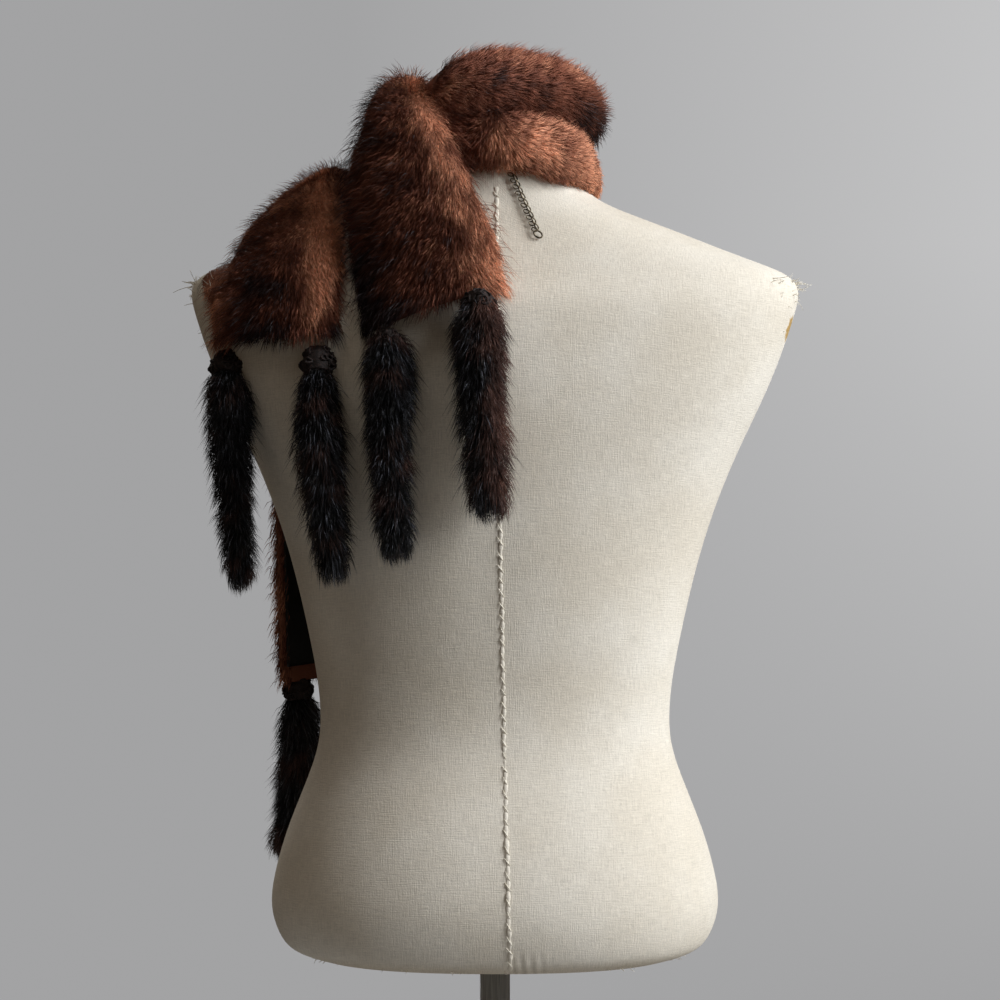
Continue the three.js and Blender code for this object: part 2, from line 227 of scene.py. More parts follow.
def skin(grid, uv=None):
    """Faces of a closed form through rings of points, grid[ring, point], with a fan over each end ring.

    Returns the points, the quads and the fans' triangles, turned so that they face outwards. With uv,
    one column wider than the grid so that it can go on past the first point, it returns UVs by corner too.
    """
    rings, count = grid.shape[:2]
    i, j = (axis.ravel() for axis in np.meshgrid(np.arange(rings - 1), np.arange(count), indexing="ij"))
    a, b = i * count + j, i * count + (j + 1) % count
    quads = np.stack([a, b, b + count, a + count], 1)
    points = np.concatenate([grid.reshape(-1, 3), grid[[0, -1]].mean(1)])
    k = np.arange(count)
    n = (k + 1) % count
    last = (rings - 1) * count
    low = np.stack([np.full(count, rings * count), n, k], 1)
    high = np.stack([np.full(count, rings * count + 1), last + k, last + n], 1)
    fans = np.concatenate([low, high])
    turn = slice(None, None, -1 if volume(points, quads, fans) < 0 else 1)
    if uv is None:
        return points, quads[:, turn], fans[:, turn]
    around = np.stack([uv[i, j], uv[i, j + 1], uv[i + 1, j + 1], uv[i + 1, j]], 1)
    first, final = uv[0], uv[-1]
    ends = np.concatenate([
        np.stack([0 * first[k] + first.mean(0), first[k + 1], first[k]], 1),
        np.stack([0 * final[k] + final.mean(0), final[k], final[k + 1]], 1),
    ])
    corners = np.concatenate([around[:, turn].reshape(-1, 2), ends[:, turn].reshape(-1, 2)])
    return points, quads[:, turn], fans[:, turn], corners


def volume(points, quads, fans):
    """Signed volume: the sum of the pyramids from the origin to each triangle."""
    triangles = np.concatenate([quads[:, :3], quads[:, [0, 2, 3]], fans])
    a, b, c = (points[triangles[:, k]] for k in range(3))
    return np.einsum("ij,ij->i", a, np.cross(b, c)).sum()


def joined(parts):
    """Several (points, quads, triangles) as one, with the indices moved on."""
    points, quads, fans, start = [], [], [], 0
    for p, q, f in parts:
        points.append(p)
        quads.append(np.asarray(q, int).reshape(-1, 4) + start)
        fans.append(np.asarray(f, int).reshape(-1, 3) + start)
        start += len(p)
    return np.concatenate(points), np.concatenate(quads), np.concatenate(fans)


def unit(v):
    return v / np.maximum(np.linalg.norm(v, axis=-1, keepdims=True), 1e-9)


def through(rows, t):
    """A smooth curve through table rows, read at row numbers t: a uniform Catmull-Rom spline."""
    rows = np.asarray(rows, float)
    padded = np.concatenate([[2 * rows[0] - rows[1]], rows, [2 * rows[-1] - rows[-2]]])
    t = np.asarray(t, float)
    i = np.clip(np.floor(t), 0, len(rows) - 2).astype(int)
    f = (t - i).reshape(t.shape + (1,) * (rows.ndim - 1))
    a, b, c, d = (padded[i + k] for k in range(4))
    return 0.5 * (2 * b + (c - a) * f + (2 * a - 5 * b + 4 * c - d) * f**2 + (3 * b - a - 3 * c + d) * f**3)


def tubes(paths, radius, sides=6):
    """Closed round threads along paths[thread, step]: a circle carried along each path.

    radius holds one number a step, or one a thread and step.
    """
    ahead = unit(np.gradient(paths, axis=1))
    aside = unit(np.cross(ahead, np.where(np.abs(ahead[..., 2:]) < 0.9, [0, 0, 1], [1.0, 0, 0])))
    up = np.cross(ahead, aside)
    angle = np.arange(sides) * TAU / sides
    radius = np.broadcast_to(radius, paths.shape[:2])[..., None, None]
    ring = aside[:, :, None] * np.cos(angle)[:, None] + up[:, :, None] * np.sin(angle)[:, None]
    grids = paths[:, :, None] + ring * radius
    return joined([skin(g) for g in grids])


# The dress form
# Columns: height, half width, depth to the front, depth to the back, roundness (2 is an ellipse)
FORM = np.array([
    (252, 126, 76, 84, 2.3),
    (257, 143, 88, 96, 2.29),
    (265, 152, 95, 103, 2.29),
    (285, 159.5, 100, 109, 2.27),
    (307, 157.5, 100, 109, 2.26),
    (340, 148.5, 95, 101, 2.24),
    (372, 135.5, 87, 88, 2.22),
    (398, 126, 83, 79, 2.2),
    (420, 124, 82, 76, 2.2),
    (445, 126, 83, 76, 2.2),
    (470, 130.5, 87, 79, 2.2),
    (505, 138, 96, 83, 2.2),
    (540, 147, 106, 87, 2.2),
    (575, 158.5, 114, 90, 2.3),
    (611, 173.5, 112, 93, 2.4),
    (645, 190, 101, 94, 2.58),
    (675, 202.5, 89, 92, 2.73),
    (704, 212, 77, 88, 2.86),
    (719, 216, 68, 82, 2.85),
    (729, 214, 61, 76, 2.78),
    (736, 205, 57, 73, 2.73),
    (742, 190, 54, 70, 2.67),
    (752, 163.5, 51, 66, 2.53),
    (764, 134, 49, 61, 2.36),
    (775, 105, 48, 58, 2.23),
    (786, 77, 50, 55, 2.13),
    (797, 64, 52, 54, 2.04),
    (810, 58, 53, 54, 2),
    (830, 56, 53, 53, 2),
    (855, 55, 52, 52, 2),
    (866, 52, 49, 49, 2),
    (871, 43, 40, 40, 2),
])
FORM_RINGS = 140
FORM_SIDES = 120
NECK_TOP = 855


def section(z):
    """Half width, front depth, back depth and roundness of the form at heights z."""
    return [np.interp(z, FORM[:, 0], FORM[:, k]) for k in range(1, 5)]


def on_form(x, z, lift, front):
    """A point on the form's front or back: the superellipse solved for y, moved out by lift."""
    wide, ahead, behind, power = section(z)
    share = np.clip(1 - np.abs(x / wide) ** power, 0, 1) ** (1 / power)
    y = -(ahead * share + lift) if front else behind * share + lift
    return np.stack(np.broadcast_arrays(x, y, z), -1).astype(float)


def on_front(x, z, lift):
    return on_form(x, z, lift, True)


def on_back(x, z, lift):
    return on_form(x, z, lift, False)


def hang(x, z, lift):
    """A point that hangs straight down from the bust."""
    return np.array([x, on_front(x, 590, lift)[1], z])


def on_neck(degrees, z, lift):
    """A point round the neck: degrees run from the nape to the right, the throat and the left."""
    a = np.radians(degrees)
    wide, ahead, behind, _ = section(min(z, NECK_TOP))
    deep = behind if np.cos(a) > 0 else ahead
    r = 1 / np.hypot(np.sin(a) / wide, np.cos(a) / deep) + lift
    return np.array([-r * np.sin(a), r * np.cos(a), z])


def clear_of_form(points, gap):
    """Moves points that lie inside the form, grown by gap, straight out to its surface."""
    wide, ahead, behind, power = section(np.minimum(points[..., 2], NECK_TOP))
    deep = np.where(points[..., 1] > 0, behind, ahead) + gap
    x, y = np.abs(points[..., 0]) / (wide + gap), np.abs(points[..., 1]) / deep
    inside = (x**power + y**power) ** (1 / power)
    grow = np.where(inside < 1, 1 / np.maximum(inside, 0.3), 1)
    return points * np.stack([grow, grow, np.ones_like(grow)], -1)


def form_grid(rings, sides):
    """Superellipse rings: x and y are the cosine and sine of the angle, raised to 2 / roundness.

    Each ring is then averaged with its neighbours a few times, which softens the bends between rows.
    """
    z, wide, ahead, behind, power = through(FORM, np.linspace(0, len(FORM) - 1, rings)).T[:, :, None]
    angle = np.arange(sides) * TAU / sides
    c, s = np.cos(angle), np.sin(angle)
    x = np.sign(c) * np.abs(c) ** (2 / power) * wide
    y = np.sign(s) * np.abs(s) ** (2 / power) * np.where(s > 0, behind, ahead)
    grid = np.stack([x, y, z + 0 * x], -1)
    for _ in range(8):
        grid[1:-1] = (grid[:-2] + 2 * grid[1:-1] + grid[2:]) / 4
    return grid


# The two rows of pelts
# Columns: edge near the neck, edge far from it, arch of the skin, depth of fur, and the tone of the fur
# (0 near black, 1 light russet) at the five places of TONE_PLACES, from the near edge, -1, to the far edge, 1
TONE_PLACES = (-1, -0.72, -0.35, 0.3, 1)
INNER_ROW = [
    (hang(-26, 462, 3), hang(66, 452, 3), 3, 14, (0.6, 0.5, 0.3, 0.38, 0.6)),
    (hang(-25, 530, 3), hang(69, 524, 3), 4, 16, (0.6, 0.5, 0.28, 0.38, 0.6)),
    (on_front(-13, 606, 2), on_front(80, 606, 2), 3, 16, (0.55, 0.45, 0.22, 0.3, 0.5)),
    (on_front(14, 680, 2), on_front(90, 684, 2), 3, 16, (0.55, 0.45, 0.25, 0.3, 0.5)),
    (on_front(40, 750, 2), on_front(97, 740, 2), 4, 15, (0.5, 0.4, 0.25, 0.3, 0.4)),
    ((62, -16, 822), (98, -12, 784), 3, 14, (0.45, 0.4, 0.3, 0.3, 0.3)),
    (on_neck(-70, 850, 3), on_neck(-66, 816, 5), 3, 14, (0.4, 0.4, 0.3, 0.25, 0.2)),
    (on_neck(-36, 878, 3), on_neck(-36, 834, 5), 3, 16, (0.46, 0.46, 0.44, 0.42, 0.46)),
    (on_neck(0, 887, 3), on_neck(0, 843, 5), 4, 16, (0.5, 0.57, 0.46, 0.35, 0.46)),
    (on_neck(45, 881, 3), on_neck(45, 836, 5), 4, 16, (0.5, 0.59, 0.5, 0.35, 0.18)),
    (on_neck(90, 872, 3), on_neck(90, 826, 5), 4, 16, (0.46, 0.51, 0.44, 0.13, 0.02)),
    (on_neck(135, 859, 3), on_neck(135, 816, 5), 4, 17, (0.5, 0.5, 0.4, 0.25, 0.2)),
    (on_neck(180, 847, 4), on_neck(180, 805, 6), 4, 17, (0.5, 0.5, 0.4, 0.35, 0.3)),
    (on_neck(214, 852, 12), on_neck(214, 808, 20), 5, 17, (0.5, 0.5, 0.45, 0.35, 0.3)),
    ((50, -34, 866), (84, -42, 836), 7, 15, (0.6, 0.55, 0.45, 0.35, 0.3)),
    ((46, 8, 870), (82, 0, 844), 7, 13, (0.6, 0.8, 0.5, 0.35, 0.25)),
    ((40, 48, 854), (90, 38, 824), 9, 15, (0.6, 1.0, 0.55, 0.42, 0.3)),
    ((26, 70, 822), (100, 56, 804), 9, 17, (0.62, 0.93, 0.52, 0.41, 0.36)),
    ((9, 82, 782), (100, 67, 776), 8, 17, (0.72, 0.82, 0.48, 0.46, 0.29)),
    ((-3, 85, 750), (98, 78, 738), 6, 16, (0.95, 0.85, 0.52, 0.42, 0.1)),
    (on_back(-7, 718, 3), on_back(89, 689, 3), 5, 13, (1.1, 0.95, 0.55, 0.36, 0.04)),
]
OUTER_ROW = [
    (hang(73, 449, 3), (161, -56, 439), 4, 14, (0.6, 0.45, 0.3, 0.38, 0.65)),
    (hang(75, 520, 3), (163, -54, 515), 4, 16, (0.6, 0.45, 0.28, 0.38, 0.65)),
    (on_front(86, 602, 2), (163, -48, 598), 5, 16, (0.5, 0.35, 0.2, 0.3, 0.5)),
    (on_front(96, 680, 2), on_front(162, 684, 2), 3, 16, (0.45, 0.35, 0.2, 0.3, 0.45)),
    (on_front(102, 740, 2), on_front(146, 738, 2), 4, 15, (0.4, 0.3, 0.2, 0.3, 0.4)),
    ((103, -10, 782), (142, -6, 766), 3, 13, (0.3, 0.3, 0.2, 0.3, 0.3)),
    (on_neck(-66, 810, 6), (92, 32, 784), 3, 13, (0.2, 0.2, 0.2, 0.25, 0.3)),
    (on_neck(-36, 836, 3), on_neck(-36, 803, 4), 3, 13, (0.25, 0.28, 0.3, 0.32, 0.35)),
    (on_neck(0, 849, 3), on_neck(0, 804, 4), 3, 13, (0.42, 0.62, 0.7, 0.68, 0.62)),
    (on_neck(45, 842, 3), on_neck(45, 796, 4), 3, 13, (0.35, 0.68, 0.82, 0.82, 0.78)),
    (on_neck(90, 832, 3), on_neck(90, 790, 0), 3, 6, (0.15, 0.5, 0.82, 0.9, 0.88)),
    (on_neck(135, 822, 3), on_neck(135, 781, 4), 4, 14, (0.4, 0.45, 0.55, 0.6, 0.6)),
    (on_neck(180, 811, 4), on_neck(180, 771, 6), 4, 16, (0.4, 0.4, 0.4, 0.45, 0.5)),
    (on_neck(212, 812, 14), (50, -86, 766), 5, 16, (0.4, 0.4, 0.35, 0.45, 0.5)),
    ((86, -52, 814), (98, -80, 760), 6, 16, (0.4, 0.4, 0.3, 0.4, 0.5)),
    ((105, -24, 812), (143, -48, 760), 6, 12, (0.4, 0.55, 0.55, 0.5, 0.45)),
    # Rows 16 to 19, the outer row's back end: their light tones, some past 1, are partly the pelt's own
    # stripes and partly a painted sheen, standing for light on the glossy fur
    ((107, 16, 806), (176, -2, 757), 4, 10, (0.6, 0.92, 0.78, 0.62, 0.62)),
    ((103, 48, 782), (187, 30, 729), 4, 12, (0.62, 1.08, 0.62, 0.46, 0.62)),
    ((102, 74, 734), on_back(195, 706, 4), 5, 15, (0.8, 1.15, 0.34, 0.13, 0.95)),
    (on_back(106, 686, 3), on_back(192, 683, 3), 4, 13, (0.15, 0.75, 0.4, 0.36, 0.9)),
]
SKIN = 1.5  # how far the section goes below its edge curves
EDGE_ROUND = 2.6  # roundness of the section, where 2 is an ellipse
EDGE_INSET = 0.9  # how far the underfur's edge lies inside, as a share of the hair above it
HEM_ROUND = 11
HEM_REACH = 0.6  # the part of a row's end, in rows, that is drawn back to make the hem uneven
HEM_DRAW = 0.14
ROW_SPACING = 45  # mean distance between two lines of a table
SKIN_SHARE = 0.74  # height of the underfur, as a share of the fur's depth
SKIN_SIDES = 38


class Row:
    """One row of pelts as arrays, with the place of any point on it."""

    def __init__(self, table, parting):
        self.parting = parting
        self.near = np.array([r[0] for r in table], float)
        self.far = np.array([r[1] for r in table], float)
        self.sizes = np.array([r[2:4] for r in table], float)
        self.tones = np.array([r[4] for r in table], float)
        self.last = len(table) - 1

    def axes(self, t):
        """Middle, half width, unit vectors across, out and ahead, arch and fur depth at row numbers t."""
        near, far = through(self.near, t), through(self.far, t)
        across = far - near
        half = np.linalg.norm(across, axis=-1) / 2
        across = unit(across)
        step = 0.02
        ahead = sum(through(edge, t + step) - through(edge, t - step) for edge in (self.near, self.far))
        out = unit(np.cross(across, ahead))
        crown, pile = np.moveaxis(through(self.sizes, t), -1, 0)
        return (near + far) / 2, half, across, out, unit(np.cross(out, across)), crown, pile

    def ragged(self, t, v):
        """Draws the end of the row back by up to 6 mm, in waves across it, so that its hem isn't straight."""
        back = HEM_DRAW * (0.5 + 0.5 * np.sin(v * 5.3 + self.last * 4.15 + 2.98) * np.cos(v * 2.9 + 1))
        return t - back * np.clip((t - self.last + HEM_REACH) / HEM_REACH, 0, 1)

    def hem(self, t, ends):
        """1 along the row, falling to 0 on a quarter circle at each hem."""
        left = np.where(ends[0], t, 9) * ROW_SPACING
        right = np.where(ends[1], self.last - t, 9) * ROW_SPACING
        near = np.clip(np.minimum(left, right) / HEM_ROUND, 0, 1)
        return np.sqrt(1 - (1 - near) ** 2)

    def surface(self, t, angle, share, ends):
        """Points and outward normals of a rounded section: a superellipse arched over the skin.

        The angle runs from the far edge over the fur to the near edge, and back under the skin.
        share is how much of the fur's depth the surface stands up.
        """
        fade = self.hem(t, ends)
        c, s = np.cos(angle), np.sin(angle)
        v = np.sign(c) * np.abs(c) ** (2 / EDGE_ROUND)
        middle, half, across, out, ahead, crown, pile = self.axes(self.ragged(t, v) if ends[1] else t)
        h = np.abs(s) ** (2 / EDGE_ROUND)
        top = share * pile * (0.35 + 0.65 * fade)
        wide = half * (0.93 + 0.07 * fade) - EDGE_INSET * (1 - share) * pile
        height = crown * (1 - v**2) + np.where(s >= 0, top, -SKIN) * h
        points = middle + across * (v * wide)[..., None] + out * height[..., None]
        power = 2 - 2 / EDGE_ROUND
        side = np.sign(c) * np.abs(c) ** power / wide
        side = side + 2 * crown * v / half / np.maximum(top, 1)
        up = np.sign(s) * np.abs(s) ** power / np.maximum(np.where(s >= 0, top, SKIN), 1)
        return points, unit(across * side[..., None] + out * up[..., None]), ahead, v

    def tone(self, t, v):
        """Tone at v, read straight between the five places of its row."""
        tones = through(self.tones, t)
        place = np.interp(v, TONE_PLACES, (0, 1, 2, 3, 3.999))
        i = place.astype(int)
        low, high = (np.take_along_axis(tones, k[..., None], -1)[..., 0] for k in (i, i + 1))
        return low + (high - low) * (place - i)


INNER = Row(INNER_ROW, 6.7)
OUTER = Row(OUTER_ROW, 8.0)


# Fur
def waves(points, lengths, seed):
    """A smooth field between -1 and 1: the mean of sines along random directions."""
    local = np.random.default_rng(seed)
    total = 0
    for length in lengths:
        direction = unit(local.normal(size=3)) * TAU / length
        total = total + np.sin(points @ direction + local.random() * TAU)
    return total / len(lengths)


def hairs(roots, ahead, tips, middles, radius):
    """Closed three-sided spikes. Straight ones have a root triangle and a tip.

    Bent ones, with middles, run from a root point through a triangle, where they turn, to a tip.
    Returns points, triangles and how far each point is up its hair.
    """
    count = len(roots)
    ahead = unit(ahead)
    aside = unit(np.cross(ahead, unit(rng.normal(size=(count, 3)))))
    up = np.cross(ahead, aside)
    turn = np.arange(3) * TAU / 3
    ring = aside[:, None] * np.cos(turn)[:, None] + up[:, None] * np.sin(turn)[:, None]
    ring = ring * np.reshape(radius, (-1, 1, 1))
    if middles is None:
        points = np.concatenate([roots[:, None] + ring, tips[:, None]], 1)
        faces = [(0, 1, 3), (1, 2, 3), (2, 0, 3), (0, 2, 1)]
        rise = [0, 0, 0, 1]
    else:
        points = np.concatenate([roots[:, None], middles[:, None] + ring, tips[:, None]], 1)
        faces = [(0, 2, 1), (0, 3, 2), (0, 1, 3), (1, 2, 4), (2, 3, 4), (3, 1, 4)]
        rise = [0, 0.55, 0.55, 0.55, 1]
    corners = points.shape[1]
    triangles = (np.arange(count) * corners)[:, None, None] + np.array(faces)
    return points.reshape(-1, 3), triangles.reshape(-1, 3), np.tile(rise, count)


def comb(roots, normals, flow, pull, length, lean, tone, bent, radius):
    """Lays hairs down along the flow.

    A hair leaves its root at the lean angle, turned a little aside by smooth waves, and its tip is
    drawn towards the middle of its lock. A bent hair stands steeper at first and then lies down.
    """
    count = len(roots)
    wobble = WANDER * waves(roots, (21, 34, 61), 5) + rng.normal(0, 0.16, count)
    aside = unit(np.cross(normals, flow))
    along = unit(np.cross(aside, normals))
    along = along * np.cos(wobble)[:, None] + aside * np.sin(wobble)[:, None]
    lean = lean * (1 + 0.18 * waves(roots, (19, 29), 6)) * rng.uniform(0.75, 1.3, count)
    length = length * (1 + 0.1 * waves(roots, (13, 31), 7)) * rng.uniform(0.7, 1.15, count)

    def at(angle, share):
        direction = along * np.cos(angle)[:, None] + normals * np.sin(angle)[:, None]
        return direction * (length * share)[:, None]

    if bent:
        first = at(np.minimum(lean * 1.3, 1.3), 0.55)
        middles = roots + first + pull * 0.2
        tips = roots + first + at(lean * 0.65, 0.5) + pull * 0.35
        made = hairs(roots, first, tips, middles, radius)
    else:
        tips = roots + at(lean, 1.0) + pull * 0.3
        made = hairs(roots, tips - roots, tips, None, radius)
    corners = len(made[2]) // count
    mottle = waves(roots, (9, 11, 14, 18, 23, 29, 37, 46), 8)
    shade = tone + 0.42 * mottle + 0.06 * waves(roots + pull, (5, 7), 9)
    shade = np.clip(shade + rng.normal(0, 0.06, count), 0, 1)
    return made, np.repeat(shade, corners), np.repeat(rng.random(count), corners)


def fur_piece(name, coats, finish):
    """One mesh of several coats of hair, with their tone, rise and chance on its points."""
    points, triangles, rise, tone, chance, start = [], [], [], [], [], 0
    for (p, f, r), shade, luck in coats:
        points.append(p)
        triangles.append(f + start)
        rise.append(r)
        tone.append(shade)
        chance.append(luck)
        start += len(p)
    numbers = {"rise": np.concatenate(rise), "tone": np.concatenate(tone), "chance": np.concatenate(chance)}
    return put(name, np.concatenate(points), [np.concatenate(triangles)], finish, numbers)


LOCK = 5.5  # size of a lock of hair
WANDER = 0.35  # how far, in radians, whole areas of fur turn aside
COVER = (-0.22 * np.pi, 1.22 * np.pi)  # the part of the section that carries hair


def lie(row, t, v, ahead, across):
    """Which way the fur lies: along the row, away from the centre seam and from the ridge, to both edges."""
    part = np.tanh((t - row.parting) / 0.5)
    spread = np.interp(t, (13, 15, 18, 20), (0.55, 1.3, 1.0, 0.6))
    ridge = v - np.interp(t, (13, 15), (0, -0.6))
    fan = np.where(ridge > 0, spread, 0.5) * ridge + 0.9 * (1 - np.abs(part))
    return ahead * part[:, None] + across * fan[:, None]


def strip_coat(row, start, end, ends, density, reach, lean, bent, radius, darker=0.0):
    """Hairs over a stretch of a row, density of them a square millimetre, gathered into locks."""
    angles = np.linspace(*COVER, 200)
    sample = row.surface(np.full(200, (start + end) / 2), angles, SKIN_SHARE, ends)[0]
    steps = np.linalg.norm(np.diff(sample, axis=0), axis=1)
    girth = np.concatenate([[0], np.cumsum(steps)])
    along = row.surface(np.linspace(start, end, 60), np.full(60, TAU / 4), SKIN_SHARE, ends)[0]
    span = np.linalg.norm(np.diff(along, axis=0), axis=1).sum()
    count = int(density * span * girth[-1])
    t = rng.uniform(start, end, count)
    s = rng.uniform(0, girth[-1], count)
    roots, normals, ahead, v = row.surface(t, np.interp(s, girth, angles), SKIN_SHARE, ends)
    cells = int((end - start) * ROW_SPACING / LOCK) + 2, int(girth[-1] / LOCK) + 2
    shift = rng.random((*cells, 2))
    i, j = ((t - start) * ROW_SPACING / LOCK).astype(int), (s / LOCK).astype(int)
    lock_t = np.clip(start + (i + shift[i, j, 0]) * LOCK / ROW_SPACING, start, end)
    lock_s = np.clip((j + shift[i, j, 1]) * LOCK, 0, girth[-1])
    lock = row.surface(lock_t, np.interp(lock_s, girth, angles), SKIN_SHARE, ends)[0]
    across, pile = row.axes(t)[2], row.axes(t)[-1]
    length = (1 - SKIN_SHARE) * pile * reach / np.sin(lean)
    roots = clear_of_form(roots, 1)
    tone = row.tone(t, v) - darker
    return comb(roots, normals, lie(row, t, v, ahead, across), lock - roots, length, lean, tone, bent, radius)


def strip_skin(name, row, start, end, ends, finish):
    """The skin and dense underfur of a stretch: the same rounded section, standing less high."""
    stations = int((end - start) * 12)
    t = np.linspace(start, end, stations + 1)
    near_hem = np.array([0.05, 0.12, 0.25, 0.45, 0.7]) * HEM_ROUND / ROW_SPACING
    t = np.sort(np.concatenate([t, start + near_hem if ends[0] else [], end - near_hem if ends[1] else []]))
    angle = np.arange(SKIN_SIDES) * TAU / SKIN_SIDES
    tt, aa = np.meshgrid(t, angle, indexing="ij")
    grid, _, _, v = row.surface(tt, aa, SKIN_SHARE, ends)
    grid = clear_of_form(grid, 0.6)
    points, quads, fans = skin(grid)
    tone = row.tone(tt, v).ravel()
    tone = np.concatenate([tone, tone[:1], tone[-1:]])
    numbers = {"tone": tone, "rise": np.full(len(points), 0.2), "chance": np.full(len(points), 0.5)}
    return put(name, points, [quads, fans], finish, numbers)


# Columns: name, row, from, to, hem at the start, hem at the end, and patches with their own coat:
# from, to, under hairs and guard hairs a square millimetre
STRETCHES = [
    ("front_end_inner", INNER, 0, 7, True, False, [(0, 5, 0.25, 0.04), (5, 7, 0.08, 0)]),
    ("front_end_outer", OUTER, 0, 7, True, False, [(0, 5, 0.25, 0.045), (5, 7, 0.08, 0)]),
    ("collar_back_upper", INNER, 7, 10, False, False, [(7, 10, 1.05, 0.25)]),
    ("collar_back_lower", OUTER, 7, 10, False, False, [(7, 10, 1.05, 0.22)]),
    ("collar_front_upper", INNER, 10, 13, False, False, [(10, 13, 0.36, 0.07)]),
    ("collar_front_lower", OUTER, 10, 13, False, False, [(10, 13, 0.36, 0.07)]),
    ("back_end_inner", INNER, 13, 20, False, True, [(13, 15, 0.32, 0.07), (15, 20, 0.78, 0.18)]),
    ("back_end_outer", OUTER, 13, 19, False, True, [(13, 15, 0.32, 0.07), (15, 19, 0.78, 0.18)]),
]


def flat_size(row, start, end):
    """Width and length of a stretch laid flat, in metres: its mean width and its middle's length."""
    t = np.linspace(start, end, 80)
    middle, half, *_ = row.axes(t)
    length = np.linalg.norm(np.diff(middle, axis=0), axis=1).sum()
    return float(2 * half.mean() * MM), float(length * MM)


def dress_stole(pelt):
    for name, row, start, end, hem_start, hem_end, patches in STRETCHES:
        ends = (hem_start, hem_end)
        base = strip_skin("skin_" + name, row, start, end, ends, pelt)
        piece(base, "pelt", name)
        coats = []
        for low, high, under, guard in patches:
            where = (row, low, high, (hem_start and low == start, hem_end and high == end))
            # Sparse coats have thicker hairs, and the back end has the longest stray hairs
            fine = 0.24 if under > 0.6 else 0.34
            stray, lean, darker = (3.6, 0.85, 0.3) if low >= 15 else (2.3, 0.75, 0.16)
            coats.append(strip_coat(*where, under, 1.0, 0.4, False, fine * 0.9))
            if guard:
                coats.append(strip_coat(*where, guard * 1.2, 1.4, 0.5, True, fine * 0.75, 0.04))
                coats.append(strip_coat(*where, guard * 0.4, stray, lean, True, fine * 0.75, darker))
        if hem_end:
            # A dark fringe hangs over the hem
            where = (row, end - 0.25, end, ends)
            coats.append(strip_coat(*where, 0.45, 1.9, 0.4, True, 0.2, 0.22))
        fur = piece(fur_piece("fur_" + name, coats, pelt), "pelt")
        flat = flat_size(row, start, end)


# Tails and their gathered heads, from the outer edge inwards
# Columns: name, hem end, two places between, tip, tone on the outer side and on the inner side, and
# radius near the head, half way and near the tip
TAILS = [
    ("back_1", (184, 48, 678), (184, 56, 640), (181, 59, 590), (175, 60, 514), 0.02, 0.02, 17, 15, 12.5),
    ("back_2", (120, 80, 680), (120, 92, 645), (117, 96, 595), (108, 97, 523), 0.03, 0.05, 14.5, 17, 14),
    ("back_3", (73, 92, 692), (71, 104, 655), (71, 107, 605), (65, 108, 536), 0.03, 0.04, 17, 15.5, 14),
    ("back_4", (11, 102, 715), (10, 112, 680), (8, 115, 635), (2, 115, 566), 0.03, 0.45, 18, 16.5, 16.5),
    ("front_1", (147, -71, 443), (145, -78, 405), (149, -86, 360), (158, -92, 310), 0.05, 0.03, 16, 16, 13),
    ("front_2", (86, -112, 450), (85, -114, 412), (87, -116, 365), (92, -118, 309), 0.03, 0.03, 17, 15, 13),
    ("front_3", (54, -122, 456), (52, -125, 418), (49, -127, 365), (44, -128, 308), 0.03, 0.1, 15, 16.5, 14),
    ("front_4", (-12, -122, 464), (-13, -126, 426), (-11, -129, 372), (-6, -130, 315),
        0.1, 0.03, 17, 16, 12.5),
]
HEAD_SHARE = 0.13
# Where the fur starts and where the gathered head begins and ends, as shares of the path, and its size
HEADS = {
    "back_1": (0.09, 0.0, 0.15, 1.1),
    "back_2": (0.15, 0.02, 0.19, 0.95),
    "back_3": (0.02, 0.03, 0.13, 0.7),
    "back_4": (0.03, 0.0, 0.13, 0.9),
}
FRONT_HEAD = (0.1, 0.0, 0.13, 0.9)
# Columns: share of the length, radius
HEAD_PROFILE = np.array([(0, 7), (0.3, 10.5), (0.75, 11.5), (1, 9.5)])
# The core's share of a tail's radius, and the look of the dense fur on it
TAIL_CORE = 0.5
CORE_LOOK = {"tone": 0.03, "rise": 0.3, "chance": 0.5}


def tail_profile(head, middle, tip):
    """Share of the length and radius: a quick swell under the head, a slow taper and a round end."""
    shares = (0, 0.06, 0.16, 0.45, 0.75, 0.94, 0.985, 1)
    radii = (head * 0.6, head * 0.85, head, middle, tip, tip * 0.97, tip * 0.7, tip * 0.3)
    return np.transpose([shares, radii])


def tail_frame(path, u):
    """Centre and unit vectors ahead, to +X and backwards, at shares u of a tail's path."""
    rows, step = np.array(path, float), 0.01
    centre = through(rows, u * 3)
    ahead = unit(through(rows, u * 3 + step) - through(rows, u * 3 - step))
    second = unit(np.cross(ahead, [1.0, 0, 0]))
    return centre, ahead, np.cross(second, ahead), second


def tail_surface(path, u, angle, profile, start, share):
    """A round section along the path: its radius follows the profile from start to the tip."""
    centre, ahead, first, second = tail_frame(path, start + u * (1 - start))
    radius = np.interp(u, profile[:, 0], profile[:, 1]) * share
    out = first * np.cos(angle)[..., None] + second * np.sin(angle)[..., None]
    return centre + out * radius[..., None], out, ahead


